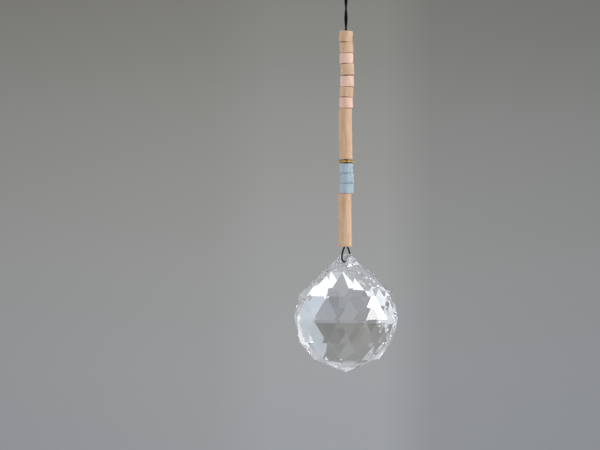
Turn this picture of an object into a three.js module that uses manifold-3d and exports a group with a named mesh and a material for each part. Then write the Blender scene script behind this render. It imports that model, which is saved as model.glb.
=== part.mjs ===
// A crystal suncatcher: a faceted ball of clear crystal, drilled through its neck, on a doubled black
// thread. Above the ball the thread runs up through a column of turned wood beads, two longer wood
// tubes and a brass daisy spacer. Over the top bead its two strands are twisted together, and they
// end in a knot with a small loop for a hook.
//
// Millimetres, +Z up, the front towards -Y. The origin is where the hook bears, inside the loop's top.

import * as THREE from "three";
import { mergeVertices } from "three/addons/utils/BufferGeometryUtils.js";
import Module from "manifold-3d";

// Thread
const threadDiameter = 0.5;
const threadSides = 8;
const strandOffset = 0.33; // of each strand from the axis inside the beads
const twistRadius = 0.24; // of the strands' centres about the axis, so that they press together
const twistHalfTurn = 5.74; // rise in which the strands change sides
const twistSteps = 15;
const loopSteps = 30;
const crystalLoopSteps = 34;
const threadGap = 0.3; // between one length of thread and the next

// Hanging loop and knot
const knotTop = -12.6;
const knotWraps = 3;
const knotWrapPitch = 0.62;
const knotRadius = 1.05;
const knotSides = 20;

// Bead column
const columnTop = -27;
const beadDiameter = 3.94;
const tubeDiameter = 3.82;
const boreDiameter = 2.0;
const beadEdge = 0.28; // worn corner of a sawn wood bead
const beadSides = 24;
const beadGap = 0.3;
const looseGap = 0.52; // under the one bead that has slipped up a little

// Brass spacer
const spacerThickness = 0.83;
const spacerGranules = 8;
const granuleRingRadius = 1.72;
const granuleRadius = 0.76;

// Crystal ball
const ballBelowColumnTop = 82.34;
const facetsAround = 12;
const facetTurn = 20.8; // degrees from the front to the first corner of the girdle
const girdleRadius = 15.0;
const shoulderRadius = 13.66;
const shoulderHeight = 6.6;
const crownRadius = 7.18;
const crownHeight = 13.36;
const bellyRadius = 13.5;
const bellyDepth = 6.6;
const lowerRadius = 9.7;
const lowerDepth = 11.6;
const pavilionRadius = 4.6;
const pavilionDepth = 13.9;
const tipDepth = 15.5;

// Neck of the ball
const neckBaseRadius = 4.35;
const neckBaseHeight = 15.35;
const neckRadius = 2.45;
const neckHeight = 17.5;
const neckTopRadius = 1.4;
const neckTopHeight = 18.4;
const holeDiameter = 1.6;
const holeHeight = 16.0;
const holeTurn = 14.3; // degrees by which its front mouth is turned to the left
const holeSides = 20;

const deg = THREE.MathUtils.degToRad;
const wasm = await Module();
wasm.setup();

const finish = {
  crystal: { color: 0xe9edf1, roughness: 0.02, metalness: 0 },
  natural: { color: 0xe2c09d, roughness: 0.6, metalness: 0 },
  pink: { color: 0xf5cbb7, roughness: 0.6, metalness: 0 },
  blue: { color: 0xb4cbd4, roughness: 0.6, metalness: 0 },
  brass: { color: 0xd9b56a, roughness: 0.25, metalness: 1 },
  thread: { color: 0x0c0c0d, roughness: 0.7, metalness: 0 },
};

function piece(name, geometry, look) {
  const mesh = new THREE.Mesh(geometry, new THREE.MeshStandardMaterial(look));
  mesh.name = name;
  return mesh;
}

// Booleans

function toSolid(geometry) {
  const bare = geometry.clone();
  bare.deleteAttribute("normal");
  bare.deleteAttribute("uv");
  const merged = mergeVertices(bare, 1e-5);
  return new wasm.Manifold(
    new wasm.Mesh({
      numProp: 3,
      vertProperties: new Float32Array(merged.attributes.position.array),
      triVerts: new Uint32Array(merged.index.array),
    }),
  );
}

function toGeometry(solid) {
  const mesh = solid.getMesh();
  const geometry = new THREE.BufferGeometry();
  geometry.setAttribute("position", new THREE.BufferAttribute(mesh.vertProperties, 3));
  geometry.setIndex(new THREE.BufferAttribute(mesh.triVerts, 1));
  geometry.computeVertexNormals();
  return geometry;
}

// Profiles turned about the Z axis

function turned(profile, sides) {
  const points = profile.map(([radius, height]) => new THREE.Vector2(radius, height));
  return new THREE.LatheGeometry(points, sides).rotateX(Math.PI / 2);
}

function beadShape(diameter, length) {
  const outer = diameter / 2;
  const bore = boreDiameter / 2;
  const end = length / 2;
  return turned(
    [
      [bore, -end],
      [outer - beadEdge, -end],
      [outer, -end + beadEdge],
      [outer, end - beadEdge],
      [outer - beadEdge, end],
      [bore, end],
      [bore, -end],
    ],
    beadSides,
  );
}

// A flat ring ringed by flattened granules, cast as one
function spacerShape() {
  const half = spacerThickness / 2;
  const bore = boreDiameter / 2;
  const ring = turned(
    [
      [bore, -half],
      [granuleRingRadius, -half * 0.8],
      [granuleRingRadius, half * 0.8],
      [bore, half],
      [bore, -half],
    ],
    beadSides,
  );
  let solid = toSolid(ring);
  for (let i = 0; i < spacerGranules; i++) {
    const turn = (2 * Math.PI * (i + 0.5)) / spacerGranules;
    const granule = new THREE.SphereGeometry(granuleRadius, 12, 8);
    granule.scale(1, half / granuleRadius, 1);
    granule.rotateX(Math.PI / 2);
    granule.translate(granuleRingRadius * Math.sin(turn), -granuleRingRadius * Math.cos(turn), 0);
    solid = solid.add(toSolid(granule));
  }
  return toGeometry(solid);
}

// Thread

function threadAlong(curve, steps) {
  const corners = [];
  for (let i = 0; i < threadSides; i++) {
    const angle = (2 * Math.PI * i) / threadSides;
    corners.push(
      new THREE.Vector2(Math.cos(angle), Math.sin(angle)).multiplyScalar(threadDiameter / 2),
    );
  }
  return new THREE.ExtrudeGeometry(new THREE.Shape(corners), { steps, extrudePath: curve });
}

function smoothRoute(points) {
  return new THREE.CatmullRomCurve3(points.map((p) => new THREE.Vector3(...p)));
}

// One of the two strands above the beads, a long loose helix
class TwistedStrand extends THREE.Curve {
  constructor(bottom, top, startAngle) {
    super();
    this.bottom = bottom;
    this.top = top;
    this.startAngle = startAngle;
  }

  getPoint(t, target = new THREE.Vector3()) {
    const height = this.bottom + (this.top - this.bottom) * t;
    const angle = this.startAngle + (Math.PI * (height - this.bottom)) / twistHalfTurn;
    return target.set(twistRadius * Math.cos(angle), twistRadius * Math.sin(angle), height);
  }
}

function twistShape(bottom, top) {
  const sideBySide = columnTop + 3.8; // where the strands lie left and right
  const startAngle = (Math.PI * (bottom - sideBySide)) / twistHalfTurn;
  const strands = [0, Math.PI].map((turn) =>
    toSolid(threadAlong(new TwistedStrand(bottom, top, startAngle + turn), twistSteps)),
  );
  return toGeometry(strands[0].add(strands[1]));
}

function hangingLoopRoute() {
  const centreTop = threadDiameter / 2;
  const side = [
    [0.3, knotTop + threadGap],
    [0.62, knotTop + 1.7],
    [1.45, knotTop + 4.0],
    [2.35, knotTop + 6.6],
    [2.75, knotTop + 9.0],
    [2.3, knotTop + 11.3],
    [1.25, knotTop + 12.5],
  ];
  const left = side.map(([x, z]) => [-x, 0, z]);
  const right = side.map(([x, z]) => [x, 0, z]).reverse();
  return smoothRoute([...left, [0, 0, centreTop], ...right]);
}

// The tail wrapped round both strands: a barrel with a groove between each two wraps
function knotShape() {
  const profile = [[0, 0]];
  for (let wrap = 0; wrap < knotWraps; wrap++) {
    const base = wrap * knotWrapPitch;
    profile.push([knotRadius - 0.3, base + 0.02]);
    profile.push([knotRadius, base + knotWrapPitch * 0.3]);
    profile.push([knotRadius, base + knotWrapPitch * 0.7]);
  }
  const height = knotWraps * knotWrapPitch;
  profile.push([knotRadius - 0.3, height - 0.02]);
  profile.push([0, height]);
  return turned(profile, knotSides);
}

// From inside the lowest tube, down the front of the neck, through its hole and up behind it.
// Heights are above the middle of the ball.
function crystalLoopRoute() {
  const front = [
    [-strandOffset, 0, 22.9],
    [-strandOffset, 0, 21.6],
    [-0.42, -0.25, 20.5],
    [-0.75, -1.05, 19.75],
    [-1.05, -2.4, 18.8],
    [-1.2, -3.55, 17.96],
    [-1.25, -3.85, 17.25],
    [-1.05, -3.6, 16.54],
    [-0.75, -2.95, 16.25],
    [-0.38, -1.5, 16.25],
  ];
  const back = front.map(([x, y, z]) => [-x, -y, z]).reverse();
  return smoothRoute([...front, [0, 0, 16.25], ...back]);
}

// Crystal ball: rings of corners joined by rows of triangles, each ring turned half a facet

function cornerRing(radius, height, halfTurns) {
  const corners = [];
  for (let i = 0; i < facetsAround; i++) {
    const turn = deg(facetTurn) + (2 * Math.PI * (i + halfTurns / 2)) / facetsAround;
    corners.push([radius * Math.sin(turn), -radius * Math.cos(turn), height]);
  }
  return corners;
}

function ballShape() {
  const rings = [
    [pavilionRadius, -pavilionDepth],
    [lowerRadius, -lowerDepth],
    [bellyRadius, -bellyDepth],
    [girdleRadius, 0],
    [shoulderRadius, shoulderHeight],
    [crownRadius, crownHeight],
    [neckBaseRadius, neckBaseHeight],
    [neckRadius, neckHeight],
    [neckTopRadius, neckTopHeight],
  ];
  const girdle = 3;
  const corners = rings.flatMap(([radius, height], i) =>
    cornerRing(radius, height, Math.abs(i - girdle) % 2),
  );
  const faces = [];
  for (let ring = 0; ring + 1 < rings.length; ring++) {
    const lowerHalf = Math.abs(ring - girdle) % 2;
    for (let i = 0; i < facetsAround; i++) {
      const next = (i + 1) % facetsAround;
      const low = [i, next].map((k) => ring * facetsAround + k);
      const high = [i, next].map((k) => (ring + 1) * facetsAround + k);
      if (lowerHalf) {
        faces.push([low[0], high[1], high[0]], [low[0], low[1], high[1]]);
      } else {
        faces.push([low[0], low[1], high[0]], [low[1], high[1], high[0]]);
      }
    }
  }
  const tip = corners.push([0, 0, -tipDepth]) - 1;
  const top = corners.push([0, 0, neckTopHeight]) - 1;
  const lastRing = (rings.length - 1) * facetsAround;
  for (let i = 0; i < facetsAround; i++) {
    const next = (i + 1) % facetsAround;
    faces.push([tip, next, i], [top, lastRing + i, lastRing + next]);
  }
  const geometry = new THREE.BufferGeometry();
  geometry.setAttribute("position", new THREE.Float32BufferAttribute(corners.flat(), 3));
  geometry.setIndex(faces.flat());

  const drill = new THREE.CylinderGeometry(
    holeDiameter / 2,
    holeDiameter / 2,
    4 * neckBaseRadius,
    holeSides,
  );
  drill.rotateZ(-deg(holeTurn));
  drill.translate(0, 0, holeHeight);
  return toGeometry(toSolid(geometry).subtract(toSolid(drill)));
}

// Each bead from the top down: how long it was sawn, how far it has slid to the right, how it leans
const column = [
  { name: "natural_bead_1", look: "natural", length: 2.98, slide: -0.05, lean: 3.5 },
  { name: "natural_bead_2", look: "natural", length: 2.87, slide: 0.15, lean: -2 },
  { name: "pink_bead_1", look: "pink", length: 2.67, slide: 0.1, lean: 0.5 },
  { name: "natural_bead_3", look: "natural", length: 2.98, slide: 0.36, lean: -2.5, below: looseGap },
  { name: "pink_bead_2", look: "pink", length: 2.87, slide: 0.32, lean: -1 },
  { name: "natural_bead_4", look: "natural", length: 2.67, slide: 0.1, lean: 1.5 },
  { name: "pink_bead_3", look: "pink", length: 2.87, slide: 0, lean: -1 },
  { name: "wood_tube_upper", look: "natural", length: 14.4, slide: -0.15, lean: -0.8, tube: true },
  { name: "brass_spacer", look: "brass", length: spacerThickness, slide: 0, lean: 0.5 },
  { name: "blue_bead_1", look: "blue", length: 2.5, slide: 0, lean: 0.5 },
  { name: "blue_bead_2", look: "blue", length: 2.6, slide: 0.25, lean: -1.5 },
  { name: "blue_bead_3", look: "blue", length: 2.65, slide: 0.2, lean: 0 },
  { name: "wood_tube_lower", look: "natural", length: 15.0, slide: -0.3, lean: -0.5, tube: true },
];

const suncatcher = new THREE.Group();

// Beads, tubes and spacer
let level = columnTop;
for (const { name, look, length, slide, lean, tube, below } of column) {
  const diameter = tube ? tubeDiameter : beadDiameter;
  const shape = look === "brass" ? spacerShape() : beadShape(diameter, length);
  const bead = piece(name, shape, finish[look]);
  bead.position.set(slide, 0, level - length / 2);
  bead.rotation.y = deg(lean);
  suncatcher.add(bead);
  level -= length + (below ?? beadGap);
}
const columnBottom = level + beadGap;

// Ball with the thread that it hangs on
const ball = new THREE.Group();
ball.position.z = columnTop - ballBelowColumnTop;
ball.add(piece("crystal_ball", ballShape(), finish.crystal));
ball.add(
  piece("thread_through_crystal", threadAlong(crystalLoopRoute(), crystalLoopSteps), finish.thread),
);
suncatcher.add(ball);

// The two strands hidden in the beads
const strandBottom = columnBottom + 2.5 + threadGap;
const strandTop = columnTop - 1.3;
for (const [name, side] of [
  ["thread_strand_left", -1],
  ["thread_strand_right", 1],
]) {
  const line = new THREE.LineCurve3(
    new THREE.Vector3(side * strandOffset, 0, strandBottom),
    new THREE.Vector3(side * strandOffset, 0, strandTop),
  );
  suncatcher.add(piece(name, threadAlong(line, 1), finish.thread));
}

// The twisted strands, the knot and the hanging loop above the beads
const knotBottom = knotTop - knotWraps * knotWrapPitch;
const twist = twistShape(strandTop + threadGap, knotBottom - threadGap);
suncatcher.add(piece("thread_twist", twist, finish.thread));
const knot = piece("thread_knot", knotShape(), finish.thread);
knot.position.z = knotBottom;
suncatcher.add(knot);
suncatcher.add(piece("hanging_loop", threadAlong(hangingLoopRoute(), loopSteps), finish.thread));

export default suncatcher;
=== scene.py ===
# %% [markdown]
# A crystal suncatcher, dressed in Blender.
# A faceted ball of clear crystal hangs on a doubled black thread. The thread runs up through a column
# of wood beads, two wood tubes and a brass spacer, and ends in a knot and a small loop for a hook.
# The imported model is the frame: it says where each solid is, and every piece made here goes in the
# place of one of its nodes.

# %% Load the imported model
import math

import bmesh
import bpy
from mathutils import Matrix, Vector


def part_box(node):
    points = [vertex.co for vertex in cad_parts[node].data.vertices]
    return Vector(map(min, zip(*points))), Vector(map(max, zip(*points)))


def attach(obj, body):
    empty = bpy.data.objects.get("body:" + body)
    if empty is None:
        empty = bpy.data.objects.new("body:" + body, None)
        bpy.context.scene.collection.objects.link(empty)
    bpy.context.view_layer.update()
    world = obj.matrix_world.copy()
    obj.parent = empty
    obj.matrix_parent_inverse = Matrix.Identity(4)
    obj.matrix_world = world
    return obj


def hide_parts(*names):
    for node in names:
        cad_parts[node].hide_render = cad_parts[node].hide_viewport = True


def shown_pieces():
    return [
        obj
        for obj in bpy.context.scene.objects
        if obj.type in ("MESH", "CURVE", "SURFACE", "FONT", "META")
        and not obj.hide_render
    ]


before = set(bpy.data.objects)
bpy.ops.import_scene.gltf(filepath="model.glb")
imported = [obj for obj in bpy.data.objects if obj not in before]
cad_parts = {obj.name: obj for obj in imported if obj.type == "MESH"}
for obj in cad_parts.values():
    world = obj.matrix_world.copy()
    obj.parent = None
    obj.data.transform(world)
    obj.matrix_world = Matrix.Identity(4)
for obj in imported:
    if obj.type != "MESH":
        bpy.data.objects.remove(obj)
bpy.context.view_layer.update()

# %% [markdown]
# Sizes are written in millimetres, because that is how beads are sold, and Blender works in metres.
# One small function turns one into the other.

# %% Millimetres
MM = 0.001


def mm(*values):
    return Vector([value * MM for value in values])


# %% [markdown]
# The camera looks straight along +Y from 0.69 m away, level, a little above the ball and a little to
# its left. A long lens keeps the column and the ball free of perspective. It is placed from the ball's
# own middle, so that it follows the model if the model changes.

# %% Camera
ball_low, ball_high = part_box("crystal_ball")
TIP_DEPTH = 15.5
BALL_MIDDLE = Vector((0.0, 0.0, ball_low.z + TIP_DEPTH * MM))

camera_data = bpy.data.cameras.new("camera")
camera_data.sensor_width = 36
camera_data.lens = 144
camera = bpy.data.objects.new("camera", camera_data)
bpy.context.scene.collection.objects.link(camera)
camera.location = BALL_MIDDLE + mm(-13.2, -689, 26.75)
camera.rotation_euler = (math.radians(90), 0, 0)
bpy.context.scene.camera = camera
bpy.context.scene.view_settings.view_transform = "Standard"
print("ball's middle in mm:", [round(x * 1000, 2) for x in BALL_MIDDLE])

# %% [markdown]
# The thread comes before everything else, because the rest hangs on it. On the real object it is one
# length of waxed black thread, half a millimetre thick. It is doubled: down through the beads, through
# the ball's drilled neck, up through the beads again, and then both strands are twisted together and
# knotted so that a loop is left for the hook. A curve object with a round bevel would make it, but a
# tube of rings in a mesh gets a UV map that runs along the thread, which the twisted fibres need.
# Its route is the solids' own route, joined end to end.

# %% Thread measures
THREAD = 0.5 * MM
STRAND_OFFSET = 0.33
TWIST_RADIUS = 0.24
TWIST_HALF_TURN = 5.74
COLUMN_TOP = -27.0
KNOT_TOP = -12.6
KNOT_WRAPS = 3
KNOT_PITCH = 0.62
KNOT_BOTTOM = KNOT_TOP - KNOT_WRAPS * KNOT_PITCH
SIDE_BY_SIDE = COLUMN_TOP + 3.8
TURN_IN_RISE = 1.1
TURN_IN_SPAN = 1.3


# %% A smooth line through points
def smooth_line(points, step=0.2):
    """Centripetal Catmull-Rom curve through points in mm, as closely spaced points."""
    points = [Vector(p) for p in points]
    padded = [2 * points[0] - points[1], *points, 2 * points[-1] - points[-2]]
    line = []
    for a, b, c, d in zip(padded, padded[1:], padded[2:], padded[3:]):
        ab, bc, cd = (max((q - p).length, 1e-4) ** 0.5 for p, q in ((a, b), (b, c), (c, d)))
        out = ((b - a) / ab - (c - a) / (ab + bc) + (c - b) / bc) * bc
        back = ((c - b) / bc - (d - b) / (bc + cd) + (d - c) / cd) * bc
        count = max(1, round((c - b).length / step))
        for i in range(count):
            t = i / count
            line.append(
                b * (1 - 3 * t**2 + 2 * t**3)
                + c * (3 * t**2 - 2 * t**3)
                + out * (t - 2 * t**2 + t**3)
                + back * (t**3 - t**2)
            )
    return [*line, points[-1]]


# %% Route of the thread
def twist_point(z, turn):
    """A strand's middle in the twist. Just over the top bead it turns faster, to enter side by side."""
    angle = turn + math.pi * (z - SIDE_BY_SIDE) / TWIST_HALF_TURN
    slow_end = COLUMN_TOP + TURN_IN_RISE
    if z < slow_end:
        hurry = (slow_end - z) / TURN_IN_SPAN
        angle -= min(1, hurry) ** 2
    return TWIST_RADIUS * math.cos(angle), TWIST_RADIUS * math.sin(angle), z


hanging_side = [
    (0.3, 0.3),
    (0.62, 1.7),
    (1.45, 4.0),
    (2.35, 6.6),
    (2.75, 9.0),
    (2.3, 11.3),
    (1.25, 12.5),
]
crystal_front = [
    (-0.33, 0, 22.9),
    (-0.33, 0, 21.6),
    (-0.42, -0.25, 20.5),
    (-0.75, -1.05, 19.75),
    (-1.05, -2.4, 18.8),
    (-1.2, -3.55, 17.96),
    (-1.25, -3.85, 17.25),
    (-1.05, -3.6, 16.54),
    (-0.75, -2.95, 16.25),
    (-0.38, -1.5, 16.25),
]
ball_level = BALL_MIDDLE.z / MM
front_side = [(x, y, z + ball_level) for x, y, z in crystal_front]
back_side = [(-x, -y, z) for x, y, z in reversed(front_side)]
through_crystal = [*front_side, (0, 0, crystal_front[-1][2] + ball_level), *back_side]

twist_heights = [COLUMN_TOP - 0.2 + 0.4 * i for i in range(33)]
twist_heights = [z for z in twist_heights if z < KNOT_BOTTOM + 0.2]
first_strand = [twist_point(z, 0) for z in reversed(twist_heights)]
second_strand = [twist_point(z, math.pi) for z in twist_heights]
in_beads = [COLUMN_TOP - 1.6, COLUMN_TOP - 14, COLUMN_TOP - 30, COLUMN_TOP - 46]
loop_left = [(-x, 0, z + KNOT_TOP) for x, z in hanging_side]
loop_right = [(x, 0, z + KNOT_TOP) for x, z in reversed(hanging_side)]

route = [
    (-0.2, -0.1, KNOT_TOP - 0.9),
    *first_strand,
    *[(-STRAND_OFFSET, 0, z) for z in in_beads],
    *through_crystal,
    *[(STRAND_OFFSET, 0, z) for z in reversed(in_beads)],
    *second_strand,
    (0.25, 0.1, KNOT_TOP - 0.8),
    *reversed(loop_right),
    (0, 0, THREAD / 2 / MM),
    *reversed(loop_left),
    (-0.25, 0.1, KNOT_TOP - 0.7),
]
thread_line = [mm(*p) for p in smooth_line(route)]

# %% [markdown]
# The tube follows the route with one ring of corners at each point. Each ring is turned as little as
# possible from the one before, so the UV map doesn't twist by itself: any twist seen on the thread
# is drawn by its material.

# %% Tube round a line
def tube(name, line, radius, sides=10):
    """A closed mesh tube with a UV map: u runs round it, v along it in turns of its own girth."""
    bm = bmesh.new()
    layer = bm.loops.layers.uv.new("along")
    last = len(line) - 1
    tangents = [
        (line[min(i + 1, last)] - line[max(i - 1, 0)]).normalized() for i in range(len(line))
    ]
    across = tangents[0].orthogonal().normalized()
    rings, along = [], [0.0]
    for i, (point, tangent) in enumerate(zip(line, tangents)):
        across = (across - across.dot(tangent) * tangent).normalized()
        up = tangent.cross(across)
        if i:
            along.append(along[-1] + (point - line[i - 1]).length / (2 * math.pi * radius))
        rings.append(
            [
                bm.verts.new(point + radius * (math.cos(a) * across + math.sin(a) * up))
                for a in (2 * math.pi * k / sides for k in range(sides))
            ]
        )
    for i in range(len(rings) - 1):
        for k in range(sides):
            n = (k + 1) % sides
            face = bm.faces.new((rings[i][k], rings[i][n], rings[i + 1][n], rings[i + 1][k]))
            corners = [(k, i), (k + 1, i), (k + 1, i + 1), (k, i + 1)]
            for loop, (u, v) in zip(face.loops, corners):
                loop[layer].uv = (u / sides, along[v])
    bm.faces.new(list(reversed(rings[0])))
    bm.faces.new(rings[-1])
    mesh = bpy.data.meshes.new(name)
    bm.to_mesh(mesh)
    bm.free()
    mesh.shade_smooth()
    piece = bpy.data.objects.new(name, mesh)
    bpy.context.scene.collection.objects.link(piece)
    return piece


# %% Thread
thread = tube("waxed_thread", thread_line, THREAD / 2)
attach(thread, "root")
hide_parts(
    "hanging_loop",
    "thread_twist",
    "thread_strand_left",
    "thread_strand_right",
    "thread_through_crystal",
)
print("thread faces:", len(thread.data.polygons))

# %% [markdown]
# The knot is the thread's own tail, wrapped nearly two and a half times round both strands and pulled
# tight. One round of thread, screwed upwards, gives a wrap that runs into the next as the real one does.

# %% Modelling helpers
def rest():
    """Leaves every object unselected, because an operator acts on all that is selected."""
    if bpy.context.mode != "OBJECT":
        bpy.ops.object.mode_set(mode="OBJECT")
    bpy.ops.object.select_all(action="DESELECT")


def take(piece):
    """Selects one piece alone and makes it active."""
    rest()
    piece.select_set(True)
    bpy.context.view_layer.objects.active = piece
    return piece


def started(name):
    """Names the primitive that was just added and leaves its place in its mesh."""
    piece = bpy.context.object
    piece.name = piece.data.name = name
    bpy.ops.object.transform_apply(location=True, rotation=True, scale=True)
    return piece


def pick(piece, kind, test):
    """In edit mode, selects the vertices, edges or faces for which test is true."""
    bpy.ops.mesh.select_mode(type={"verts": "VERT", "edges": "EDGE", "faces": "FACE"}[kind])
    bpy.ops.mesh.select_all(action="DESELECT")
    bm = bmesh.from_edit_mesh(piece.data)
    chosen = [item for item in getattr(bm, kind) if test(item)]
    for item in chosen:
        item.select_set(True)
    bm.select_flush_mode()
    bmesh.update_edit_mesh(piece.data)
    return len(chosen)


def finish_modifier(piece, kind, **settings):
    """Adds a modifier with these settings and applies it."""
    take(piece)
    modifier = piece.modifiers.new(kind.lower(), kind)
    for key, value in settings.items():
        setattr(modifier, key, value)
    bpy.ops.object.modifier_apply(modifier=modifier.name)


# %% Knot
WRAP_RADIUS = 0.8
FIRST_WRAP = 0.27  # its middle over the knot's underside
KNOT_TURNS = KNOT_WRAPS - 0.62  # of the wrap; the thread's thickness adds to its height
rest()
bpy.ops.mesh.primitive_circle_add(
    vertices=14,
    radius=THREAD / 2,
    location=mm(WRAP_RADIUS, 0, KNOT_BOTTOM + FIRST_WRAP),
    rotation=(math.radians(90), 0, 0),
)
knot = started("wrapped_knot")
finish_modifier(
    knot,
    "SCREW",
    axis="Z",
    angle=2 * math.pi * KNOT_TURNS,
    screw_offset=KNOT_PITCH * KNOT_TURNS * MM,
    steps=100,
    render_steps=100,
    use_merge_vertices=False,
)
bpy.ops.object.mode_set(mode="EDIT")
bpy.ops.mesh.select_all(action="SELECT")
bpy.ops.mesh.fill_holes(sides=20)
bpy.ops.mesh.normals_make_consistent(inside=False)
rest()
knot.data.shade_smooth()
print("knot faces:", len(knot.data.polygons))
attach(knot, "root")
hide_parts("thread_knot")

# %% [markdown]
# The beads are slices of turned hardwood, drilled through, with their sawn corners worn round. A torus
# or a plain cylinder would be too regular. One bead is made from a cylinder: both ends are inset and
# joined by a bore, the corners get a round bevel, and the side is cut into rings so that it can bulge
# and wobble a little, as wood sanded in a tumbler does. Then it is copied for every bead of the string.

# %% Column measures
BEAD_DIAMETER = 3.94
TUBE_DIAMETER = 3.82
BORE_DIAMETER = 2.0
BEAD_EDGE = 0.22
CLOSE_UP = 0.11 * MM  # each end takes this much of the 0.3 mm gap that the solids keep
BEAD_MODEL_LENGTH = 2.8
BEAD_WEAR = 0.05
TUBE_WEAR = 0.035

# degrees by which each bead leans on the thread, and a seed for its own unevenness
column = {
    "natural_bead_1": (3.5, 3),
    "natural_bead_2": (-2, 8),
    "pink_bead_1": (0.5, 5),
    "natural_bead_3": (-2.5, 11),
    "pink_bead_2": (-1, 2),
    "natural_bead_4": (1.5, 7),
    "pink_bead_3": (-1, 13),
    "blue_bead_1": (0.5, 4),
    "blue_bead_2": (-1.5, 9),
    "blue_bead_3": (0, 6),
}


# %% A drilled slice of wood
def wood_slice(name, diameter, length, edge, rings):
    """A drilled cylinder about the Z axis, with round worn corners and a side cut into rings."""
    rest()
    bpy.ops.mesh.primitive_cylinder_add(
        vertices=48, radius=diameter / 2 * MM, depth=length * MM, location=(0, 0, 0)
    )
    piece = started(name)
    take(piece)
    bpy.ops.object.mode_set(mode="EDIT")
    pick(piece, "faces", lambda f: abs(f.normal.z) > 0.9)
    bpy.ops.mesh.inset(thickness=(diameter - BORE_DIAMETER) / 2 * MM, depth=0)
    pick(piece, "faces", lambda f: abs(f.normal.z) > 0.9 and len(f.verts) > 4)
    bpy.ops.mesh.bridge_edge_loops()
    outer = diameter / 2 * MM * 0.98
    pick(
        piece,
        "edges",
        lambda e: all(v.co.xy.length > outer for v in e.verts)
        and abs(e.verts[0].co.z - e.verts[1].co.z) < 1e-6,
    )
    bpy.ops.mesh.bevel(offset=edge * MM, segments=4, profile=0.5, affect="EDGES")
    pick(piece, "edges", lambda e: abs(e.verts[0].co.z - e.verts[1].co.z) > length * MM * 0.5)
    bpy.ops.mesh.subdivide(number_cuts=rings)
    pick(
        piece,
        "edges",
        lambda e: all(abs(v.co.xy.length - BORE_DIAMETER / 2 * MM) < 1e-5 for v in e.verts)
        and all(abs(abs(v.co.z) - length / 2 * MM) < 1e-5 for v in e.verts),
    )
    bpy.ops.mesh.bevel(offset=0.1 * MM, segments=2, profile=0.5, affect="EDGES")
    bpy.ops.mesh.select_all(action="SELECT")
    bpy.ops.mesh.normals_make_consistent(inside=False)
    rest()
    return piece


def worn(piece, seed, amount):
    """Pushes the surface in and out by up to amount, in soft lumps that differ with the seed."""
    texture = bpy.data.textures.new("lumps", "CLOUDS")
    texture.noise_scale = 1.6 * MM
    texture.noise_depth = 1
    place = bpy.data.objects.new("lumps_place", None)
    bpy.context.scene.collection.objects.link(place)
    place.location = mm(seed * 11.3, seed * 7.1, seed * 3.7)
    bpy.context.view_layer.update()
    finish_modifier(
        piece,
        "DISPLACE",
        texture=texture,
        texture_coords="OBJECT",
        texture_coords_object=place,
        mid_level=0.5,
        strength=2 * amount * MM,
    )
    bpy.data.objects.remove(place)


def copied(piece, name):
    """A copy with its own mesh."""
    other = piece.copy()
    other.data = piece.data.copy()
    other.name = other.data.name = name
    bpy.context.scene.collection.objects.link(other)
    return other


def strung(piece, node, lean, model_length, model_diameter):
    """Stretches a slice to its node's length and until it nearly touches the next, and places it."""
    low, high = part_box(node)
    tilt = math.radians(abs(lean))
    height = (high.z - low.z - model_diameter * MM * math.sin(tilt)) / math.cos(tilt) + 2 * CLOSE_UP
    take(piece)
    piece.scale = (1, 1, height / (model_length * MM))
    bpy.ops.object.transform_apply(location=False, rotation=False, scale=True)
    piece.rotation_euler = (0, math.radians(lean), 0)
    piece.location = (low + high) / 2
    bpy.ops.object.transform_apply(location=True, rotation=True, scale=False)
    rest()
    return height / MM


# %% Beads
bead_model = wood_slice("bead_model", BEAD_DIAMETER, BEAD_MODEL_LENGTH, BEAD_EDGE, 4)
for node, (lean, seed) in column.items():
    bead = copied(bead_model, f"wood_{node}")
    worn(bead, seed, BEAD_WEAR)
    height = strung(bead, node, lean, BEAD_MODEL_LENGTH, BEAD_DIAMETER)
    bead.data.shade_smooth()
    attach(bead, "root")
    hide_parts(node)
    print(bead.name, "is", round(height, 2), "mm long,", len(bead.data.polygons), "faces")
bpy.data.objects.remove(bead_model)

# %% [markdown]
# The two tubes are longer lengths of the same dowel. They are the same slice with more rings, because
# a long side shows its waves more.

# %% Wood tubes
for node, lean, seed, length in (("wood_tube_upper", -0.8, 21, 14.4), ("wood_tube_lower", -0.5, 34, 15.0)):
    dowel = wood_slice(node.replace("wood_tube", "dowel_tube"), TUBE_DIAMETER, length, BEAD_EDGE, 24)
    worn(dowel, seed, TUBE_WEAR)
    strung(dowel, node, lean, length, TUBE_DIAMETER)
    dowel.data.shade_smooth()
    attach(dowel, "root")
    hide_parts(node)
    print(dowel.name, len(dowel.data.polygons), "faces")

# %% [markdown]
# The spacer is a daisy: a flat brass ring cast with eight round granules round its rim. One granule is
# modelled and spun into eight copies, a small ring joins them, and a fine voxel remesh with a little
# smoothing melts them into one casting, with the soft creases that a real one has.

# %% Brass daisy spacer
spacer_low, spacer_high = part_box("brass_spacer")
spacer_middle = (spacer_low + spacer_high) / 2
GRANULE_RING = 1.72
GRANULES = 8
GRANULE_RADIUS = 0.76
HALF_THICKNESS = 0.415
INNER_RING = 1.38
INNER_RING_RADIUS = 0.36

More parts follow.
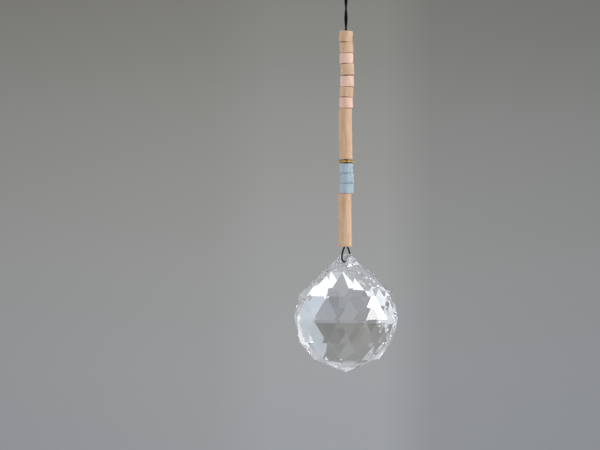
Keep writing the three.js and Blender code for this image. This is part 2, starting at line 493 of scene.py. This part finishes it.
rest()
bpy.ops.mesh.primitive_uv_sphere_add(
    segments=24, ring_count=16, radius=GRANULE_RADIUS * MM, location=(0, 0, 0)
)
bpy.context.object.scale = (1, 1, HALF_THICKNESS / GRANULE_RADIUS * 1.02)
granule = started("granule")
daisy_parts = []
for i in range(GRANULES):
    turn = 2 * math.pi * (i + 0.5) / GRANULES
    petal = copied(granule, f"granule_{i}")
    petal.location = mm(GRANULE_RING * math.sin(turn), -GRANULE_RING * math.cos(turn), 0)
    daisy_parts.append(petal)
bpy.data.objects.remove(granule)
bpy.ops.mesh.primitive_torus_add(
    major_segments=64,
    minor_segments=16,
    major_radius=INNER_RING * MM,
    minor_radius=INNER_RING_RADIUS * MM,
    location=(0, 0, 0),
)
ring = started("spacer_ring")
daisy_parts.append(ring)
rest()
for part in daisy_parts:
    part.select_set(True)
bpy.context.view_layer.objects.active = ring
bpy.ops.object.join()
daisy = started("brass_daisy")
finish_modifier(daisy, "REMESH", mode="VOXEL", voxel_size=0.05 * MM)
finish_modifier(daisy, "SMOOTH", factor=0.5, iterations=4)
take(daisy)
daisy.rotation_euler = (0, math.radians(0.5), 0)
daisy.location = spacer_middle
bpy.ops.object.transform_apply(location=True, rotation=True, scale=False)
rest()
daisy.data.shade_smooth()
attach(daisy, "root")
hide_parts("brass_spacer")
print("daisy faces:", len(daisy.data.polygons), "size:", [round(x * 1000, 2) for x in daisy.dimensions])

# %% [markdown]
# The ball is ground from clear crystal in rows of flat triangles: twelve facets round, each row turned
# half a facet from the one before. A sphere can't be faceted like that by a modifier, but extruding
# can: a cone makes the bottom point, and its rim is extruded row by row, each time raised, widened
# or narrowed, and turned by half a facet. The twisted four-sided faces that this leaves are then cut
# along their shorter diagonal, which gives exactly the triangles of the real cut.

# %% Crystal ball
FACETS = 12
FACET_TURN = 20.8
rows = [
    (4.6, -13.9),
    (9.7, -11.6),
    (13.5, -6.6),
    (15.0, 0),
    (13.66, 6.6),
    (7.18, 13.36),
    (4.35, 15.35),
    (2.45, 17.5),
    (1.4, 18.4),
]
TIP = -TIP_DEPTH
rest()
bpy.ops.mesh.primitive_cone_add(
    vertices=FACETS,
    radius1=0,
    radius2=rows[0][0] * MM,
    depth=(rows[0][1] - TIP) * MM,
    end_fill_type="NOTHING",
    location=mm(0, 0, (rows[0][1] + TIP) / 2),
    rotation=(0, 0, math.radians(FACET_TURN + 15)),
)
crystal = started("crystal_ball_cut")
take(crystal)
bpy.ops.object.mode_set(mode="EDIT")
pick(crystal, "edges", lambda e: len(e.link_faces) == 1)
for (radius, level), (next_radius, next_level) in zip(rows, rows[1:]):
    middle = mm(0, 0, next_level)
    grow = next_radius / radius
    bpy.ops.mesh.extrude_region_move()
    bpy.ops.transform.translate(value=mm(0, 0, next_level - level))
    bpy.ops.transform.resize(value=(grow, grow, 1), center_override=middle)
    bpy.ops.transform.rotate(
        value=math.radians(180 / FACETS), orient_axis="Z", center_override=middle
    )
bpy.ops.mesh.edge_face_add()
bpy.ops.mesh.select_all(action="SELECT")
bpy.ops.mesh.quads_convert_to_tris(quad_method="SHORTEST_DIAGONAL", ngon_method="BEAUTY")
bpy.ops.mesh.normals_make_consistent(inside=False)
rest()
print("crystal:", len(crystal.data.vertices), "corners,", len(crystal.data.polygons), "facets")

# %% [markdown]
# The neck is drilled from front to back for the thread. The drill leaves a finely ground wall, not a
# polished one, so the bore gets its own material, and the two mouths get the small chamfer that
# keeps them from cutting the thread.

# %% Drilled neck
HOLE_TURN = 14.3
HOLE_RADIUS = 0.8
HOLE_HEIGHT = 16.0
rest()
bpy.ops.mesh.primitive_cylinder_add(
    vertices=40,
    radius=HOLE_RADIUS * MM,
    depth=17 * MM,
    location=mm(0, 0, HOLE_HEIGHT),
    rotation=(math.radians(90), 0, math.radians(-HOLE_TURN)),
)
drill = started("drill")
finish_modifier(crystal, "BOOLEAN", operation="DIFFERENCE", solver="EXACT", object=drill)
bpy.data.objects.remove(drill)

bore_along = Vector((math.sin(math.radians(HOLE_TURN)), math.cos(math.radians(HOLE_TURN)), 0))


def off_bore(point):
    """How far a point is from the middle of the bore."""
    arm = point - mm(0, 0, HOLE_HEIGHT)
    return (arm - arm.dot(bore_along) * bore_along).length


def on_bore_wall(face):
    return all(abs(off_bore(v.co) - HOLE_RADIUS * MM) < 4e-6 for v in face.verts)


take(crystal)
bpy.ops.object.mode_set(mode="EDIT")
mouths = pick(
    crystal, "edges", lambda e: sum(1 for f in e.link_faces if on_bore_wall(f)) == 1
)
bpy.ops.mesh.bevel(offset=0.08 * MM, segments=2, profile=0.5, affect="EDGES")
rest()
take(crystal)
crystal.location = BALL_MIDDLE
bpy.ops.object.transform_apply(location=True, rotation=False, scale=False)
rest()
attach(crystal, "root")
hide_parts("crystal_ball")
print("edges round the mouths:", mouths, "faces now:", len(crystal.data.polygons))

# %% [markdown]
# Finishes. Each one is built from nodes that read the piece's own object coordinates, in metres, so
# the grain has its true size. A few small functions add the nodes.

# %% Node helpers
def new_finish(name):
    """A material with its node tree cleared to one shader and its output."""
    material = bpy.data.materials.new(name)
    material.use_nodes = True
    nodes = material.node_tree.nodes
    return material, nodes, material.node_tree.links, nodes["Principled BSDF"]


def linear(red, green, blue):
    """A paint-box colour, 0 to 255, as the linear colour that shaders use."""
    out = []
    for value in (red, green, blue):
        value /= 255
        out.append(value / 12.92 if value <= 0.04045 else ((value + 0.055) / 1.055) ** 2.4)
    return (*out, 1)


def placed(nodes, links, scale, source="Object"):
    """Coordinates stretched by scale, in waves to the metre."""
    where = nodes.new("ShaderNodeTexCoord")
    mapping = nodes.new("ShaderNodeMapping")
    mapping.inputs["Scale"].default_value = scale
    links.new(where.outputs[source], mapping.inputs["Vector"])
    return mapping.outputs["Vector"]


def noise(nodes, links, vector, detail=3, roughness=0.55, distortion=0.0):
    texture = nodes.new("ShaderNodeTexNoise")
    texture.inputs["Scale"].default_value = 1
    texture.inputs["Detail"].default_value = detail
    texture.inputs["Roughness"].default_value = roughness
    texture.inputs["Distortion"].default_value = distortion
    links.new(vector, texture.inputs["Vector"])
    return texture.outputs["Fac"]


def ramp(nodes, links, value, *stops):
    """A colour ramp; each stop is a position and a colour."""
    node = nodes.new("ShaderNodeValToRGB")
    elements = node.color_ramp.elements
    while len(elements) < len(stops):
        elements.new(0.5)
    for element, (position, colour) in zip(elements, stops):
        element.position = position
        element.color = colour
    links.new(value, node.inputs["Fac"])
    return node.outputs["Color"]


def mixed(nodes, links, kind, amount, first, second):
    """Two colours mixed; amount, first and second may be values or outputs."""
    node = nodes.new("ShaderNodeMix")
    node.data_type = "RGBA"
    node.blend_type = kind
    sockets = node.inputs[0], node.inputs[6], node.inputs[7]
    for socket, value in zip(sockets, (amount, first, second)):
        if isinstance(value, bpy.types.NodeSocket):
            links.new(value, socket)
        else:
            socket.default_value = value
    return node.outputs[2]


def bumped(nodes, links, shader, height, strength, distance):
    node = nodes.new("ShaderNodeBump")
    node.inputs["Strength"].default_value = strength
    node.inputs["Distance"].default_value = distance
    links.new(height, node.inputs["Height"])
    links.new(node.outputs["Normal"], shader.inputs["Normal"])


# %% [markdown]
# The wood is pale and fine, with a faint grain that runs along the bore, a few darker streaks and tiny
# pores. The pink and blue beads are the same wood, stained: the stain is uneven and lets the grain
# show. One function makes all three, from the colour of the early wood and of the streaks.

# %% Wood finishes
def wood_finish(name, light, dark, stain_blotch, pores=0.35):
    material, nodes, links, shader = new_finish(name)
    grain = noise(nodes, links, placed(nodes, links, (1900, 1900, 150)), 4, 0.6, 0.2)
    streak = noise(nodes, links, placed(nodes, links, (620, 620, 60)), 2, 0.5, 0.6)
    cloud = noise(nodes, links, placed(nodes, links, (260, 260, 200)), 2)
    pore = noise(nodes, links, placed(nodes, links, (5200, 5200, 900)), 2, 0.7)
    body = ramp(nodes, links, grain, (0.3, dark), (0.52, light), (1.0, light))
    lines = ramp(nodes, links, streak, (0.42, (1, 1, 1, 1)), (0.62, stain_blotch))
    body = mixed(nodes, links, "MULTIPLY", 0.55, body, lines)
    blotch = ramp(nodes, links, cloud, (0.38, stain_blotch), (0.6, (1, 1, 1, 1)))
    body = mixed(nodes, links, "MULTIPLY", 0.5, body, blotch)
    pits = ramp(nodes, links, pore, (0.3, (0.55, 0.5, 0.45, 1)), (0.42, (1, 1, 1, 1)))
    body = mixed(nodes, links, "MULTIPLY", pores, body, pits)
    links.new(body, shader.inputs["Base Color"])
    rough = ramp(nodes, links, grain, (0.2, (0.62, 0.62, 0.62, 1)), (0.8, (0.46, 0.46, 0.46, 1)))
    links.new(rough, shader.inputs["Roughness"])
    shader.inputs["Specular IOR Level"].default_value = 0.35
    bumped(nodes, links, shader, grain, 0.25, 0.06 * MM)
    return material


wood = {
    "natural": wood_finish(
        "natural_wood", linear(236, 201, 168), linear(220, 180, 142), (0.9, 0.84, 0.78, 1)
    ),
    "pink": wood_finish(
        "pink_stained_wood", linear(255, 218, 197), linear(244, 198, 176), (0.96, 0.9, 0.87, 1)
    ),
    "blue": wood_finish(
        "blue_stained_wood", linear(192, 212, 220), linear(164, 188, 202), (0.88, 0.91, 0.93, 1)
    ),
}
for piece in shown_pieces():
    if piece.name.startswith("dowel_tube"):
        piece.data.materials.append(wood["natural"])
    elif piece.name.startswith("wood_"):
        piece.data.materials.append(wood[piece.name.split("_")[1]])
print("wood finishes:", ", ".join(wood))

# %% [markdown]
# The brass is bright on the granules and darker in the creases, where the polishing wheel doesn't
# reach. Pointiness knows the creases from the mesh itself.

# %% Brass finish
brass, nodes, links, shader = new_finish("cast_brass")
geometry = nodes.new("ShaderNodeNewGeometry")
crease = ramp(
    nodes,
    links,
    geometry.outputs["Pointiness"],
    (0.44, linear(140, 100, 52)),
    (0.52, linear(226, 190, 118)),
)
patch = noise(nodes, links, placed(nodes, links, (900, 900, 900)), 4)
tarnish = ramp(nodes, links, patch, (0.35, linear(222, 196, 150)), (0.65, (1, 1, 1, 1)))
links.new(mixed(nodes, links, "MULTIPLY", 0.6, crease, tarnish), shader.inputs["Base Color"])
rough = ramp(nodes, links, patch, (0.3, (0.4, 0.4, 0.4, 1)), (0.7, (0.2, 0.2, 0.2, 1)))
links.new(rough, shader.inputs["Roughness"])
shader.inputs["Metallic"].default_value = 1
bumped(nodes, links, shader, noise(nodes, links, placed(nodes, links, (3000,) * 3)), 0.15, 0.03 * MM)
daisy.data.materials.append(brass)

# %% [markdown]
# The thread is twisted from fine fibres and waxed. Diagonal waves on its own UV map draw the twist, and
# a little sheen shows the fibres that stand up from it.

# %% Thread finish
black, nodes, links, shader = new_finish("waxed_black_thread")
wave = nodes.new("ShaderNodeTexWave")
wave.wave_type = "BANDS"
wave.bands_direction = "DIAGONAL"
wave.inputs["Scale"].default_value = 1.0
wave.inputs["Distortion"].default_value = 0.6
links.new(placed(nodes, links, (3, 3, 1), "UV"), wave.inputs["Vector"])
fibre = ramp(
    nodes, links, wave.outputs["Fac"], (0.1, (0.001, 0.001, 0.001, 1)), (0.9, (0.006, 0.006, 0.006, 1))
)
links.new(fibre, shader.inputs["Base Color"])
wax = noise(nodes, links, placed(nodes, links, (1500,) * 3), 3)
links.new(
    ramp(nodes, links, wax, (0.3, (0.42, 0.42, 0.42, 1)), (0.7, (0.68, 0.68, 0.68, 1))),
    shader.inputs["Roughness"],
)
shader.inputs["Specular IOR Level"].default_value = 0.12
shader.inputs["Sheen Weight"].default_value = 0.01
bumped(nodes, links, shader, wave.outputs["Fac"], 0.5, 0.04 * MM)
for piece in (thread, knot):
    piece.data.materials.append(black)

# %% [markdown]
# The crystal is see-through by plain values on the shader: full transmission, no roughness and the
# refraction of lead crystal. The ground wall of the bore is the same glass, but rough.

# %% Crystal finish
CRYSTAL_IOR = 1.56
clear, nodes, links, shader = new_finish("clear_crystal")
shader.inputs["Base Color"].default_value = (0.99, 0.995, 1, 1)
shader.inputs["Transmission Weight"].default_value = 1
shader.inputs["Roughness"].default_value = 0
shader.inputs["IOR"].default_value = CRYSTAL_IOR
crystal.data.materials.clear()
crystal.data.materials.append(clear)

ground, nodes, links, shader = new_finish("ground_bore")
shader.inputs["Base Color"].default_value = (0.97, 0.98, 1, 1)
shader.inputs["Transmission Weight"].default_value = 1
shader.inputs["Roughness"].default_value = 0.25
shader.inputs["IOR"].default_value = CRYSTAL_IOR
grit = noise(nodes, links, placed(nodes, links, (9000,) * 3), 2)
bumped(nodes, links, shader, grit, 0.3, 0.02 * MM)
crystal.data.materials.append(ground)


def in_bore(face):
    return all(off_bore(v.co - BALL_MIDDLE) < (HOLE_RADIUS + 0.02) * MM for v in face.verts)


take(crystal)
bpy.ops.object.mode_set(mode="EDIT")
walls = pick(crystal, "faces", in_bore)
crystal.active_material_index = 1
bpy.ops.object.material_slot_assign()
bpy.ops.mesh.faces_shade_smooth()
rest()
print("ground faces in the bore:", walls)

# %% [markdown]
# The stage is a pale floor far below and a grey backdrop a long way behind. The backdrop's tone is painted
# light: painted shade makes it darker from the bottom to the top of the view and lighter again above it,
# and a painted pool of light makes it a little brighter behind the object. It glows by itself, though it
# is no lamp, so its tone stays the same however the lamps are moved.

# %% Floor and backdrop
FLOOR_LEVEL = -0.55
BACKDROP_DISTANCE = 1.2
rest()
bpy.ops.mesh.primitive_plane_add(size=6, location=(0, 0, FLOOR_LEVEL))
floor = started("floor")
pale, nodes, links, shader = new_finish("pale_floor")
shader.inputs["Base Color"].default_value = (0.66, 0.66, 0.66, 1)
shader.inputs["Roughness"].default_value = 0.6
floor.data.materials.append(pale)

bpy.ops.mesh.primitive_plane_add(
    size=1, location=(0, BACKDROP_DISTANCE, 0.35), rotation=(math.radians(90), 0, 0)
)
bpy.context.object.scale = (3.2, 1.8, 1)
backdrop = started("backdrop")
# the backdrop's finish is painted light: it glows by itself, though it is no lamp
backdrop_painted_light, nodes, links, shader = new_finish("grey_paper")
nodes.remove(shader)
glow = nodes.new("ShaderNodeEmission")
links.new(glow.outputs["Emission"], nodes["Material Output"].inputs["Surface"])
where = nodes.new("ShaderNodeTexCoord")
axes = nodes.new("ShaderNodeSeparateXYZ")
links.new(where.outputs["Object"], axes.inputs["Vector"])


def span(value, low, high):
    """Turns a height or width between low and high into 0 to 1."""
    node = nodes.new("ShaderNodeMapRange")
    node.inputs["From Min"].default_value = low
    node.inputs["From Max"].default_value = high
    links.new(value, node.inputs["Value"])
    return node.outputs["Result"]


# painted shade by height: darker towards the top of the view, lighter again above it
painted_shade_by_height = ramp(
    nodes,
    links,
    span(axes.outputs["Z"], -0.26, 0.4),
    (0.0, linear(150, 152, 155)),
    (0.1, linear(152, 153, 155)),
    (0.22, linear(150, 151, 150)),
    (0.31, linear(146, 146, 144)),
    (0.4, linear(140, 140, 137)),
    (0.48, linear(131, 131, 127)),
    (0.54, linear(126, 125, 121)),
    (0.7, linear(140, 140, 137)),
    (1.0, linear(146, 146, 144)),
)
# painted pool of light: the backdrop is a little brighter behind the object
painted_light_pool = ramp(
    nodes,
    links,
    span(axes.outputs["X"], -0.25, 0.223),
    (0.0, (0.46, 0.46, 0.465, 1)),
    (0.35, (0.5, 0.5, 0.5, 1)),
    (0.45, (0.545, 0.55, 0.555, 1)),
    (0.64, (0.55, 0.555, 0.56, 1)),
    (0.72, (0.455, 0.46, 0.47, 1)),
    (1.0, (0.43, 0.44, 0.45, 1)),
)
glow.inputs["Strength"].default_value = 2
links.new(mixed(nodes, links, "MULTIPLY", 1.0, painted_shade_by_height, painted_light_pool), glow.inputs["Color"])
backdrop.data.materials.append(backdrop_painted_light)

# %% [markdown]
# Cut crystal shows its surroundings, so the lamps are placed for it. Each is a plain soft panel facing
# the ball, given by the direction it stands in, the angle it fills and how bright its face is. The low
# ones behind it shine up through the crown and make its white bands, the window at its right makes one
# facet flash like a mirror, and the washes at the sides fill the rim. They are hidden from the camera
# itself, but not from the glass. A panel's power is its brightness times its area times pi.

# %% Soft lights
world = bpy.data.worlds.new("studio")
bpy.context.scene.world = world
world.use_nodes = True
world.node_tree.nodes["Background"].inputs["Color"].default_value = (0.45, 0.46, 0.49, 1)
world.node_tree.nodes["Background"].inputs["Strength"].default_value = 1

WHITE = (1, 1, 1)
COOL = (0.9, 0.97, 1)
BLUISH = (0.72, 0.86, 1)
WARM = (1, 0.95, 0.88)

# direction round the ball from straight behind it, direction upwards, width and height of the face, in
# degrees, brightness of the face, colour, distance in metres
panels = [
    ("window_right", 106, 9, 18, 18, 11.0, WHITE, 1.6),
    ("wall_right", 78, 5, 44, 60, 0.25, WHITE, 1.6),
    ("low_middle", -2, -36, 15, 9, 0.8, COOL, 0.65),
    ("low_right", 29, -31, 20, 19, 0.75, COOL, 0.7),
    ("low_left", -40, -22, 34, 24, 0.65, COOL, 0.9),
    ("side_left", -46, -3, 18, 16, 0.5, COOL, 1.2),
    ("side_right", 45, 8, 36, 60, 0.32, BLUISH, 1.2),
    ("left_wash", -105, -8, 90, 60, 0.65, WHITE, 1.6),
    ("front_right", 150, 15, 40, 44, 0.4, WHITE, 1.6),
    ("overhead", 115, 68, 16, 16, 3.2, WHITE, 1.6),
    ("low_front_right", 140, -40, 50, 30, 0.6, WARM, 0.7),
    ("low_near", 5, -46, 22, 9, 0.18, BLUISH, 0.55),
    ("centre_fill", 20, -12, 20, 22, 0.06, COOL, 1.0),
]


def panel(name, around, up, width, height, brightness, colour, distance):
    around, up = math.radians(around), math.radians(up)
    towards = Vector((math.sin(around) * math.cos(up), math.cos(around) * math.cos(up), math.sin(up)))
    lamp = bpy.data.lights.new(name, "AREA")
    lamp.shape = "RECTANGLE"
    lamp.size = 2 * distance * math.tan(math.radians(width / 2))
    lamp.size_y = 2 * distance * math.tan(math.radians(height / 2))
    lamp.energy = brightness * lamp.size * lamp.size_y * math.pi
    lamp.color = colour
    light = bpy.data.objects.new(name, lamp)
    bpy.context.scene.collection.objects.link(light)
    light.location = BALL_MIDDLE + towards * distance
    light.rotation_euler = (-towards).to_track_quat("-Z", "Y").to_euler()
    light.visible_camera = False


for settings in panels:
    panel(*settings)
print("panels:", len(panels))

# %% [markdown]
# Light that enters cut crystal may be turned back by a dozen facets before it finds a way out. With
# the usual few bounces those paths end black and speckle the rim, so the paths are let run longer.

# %% Length of the light's paths
PATH_LENGTH = 40
light_paths = bpy.context.scene.cycles
light_paths.max_bounces = PATH_LENGTH
light_paths.glossy_bounces = PATH_LENGTH
light_paths.transmission_bounces = PATH_LENGTH
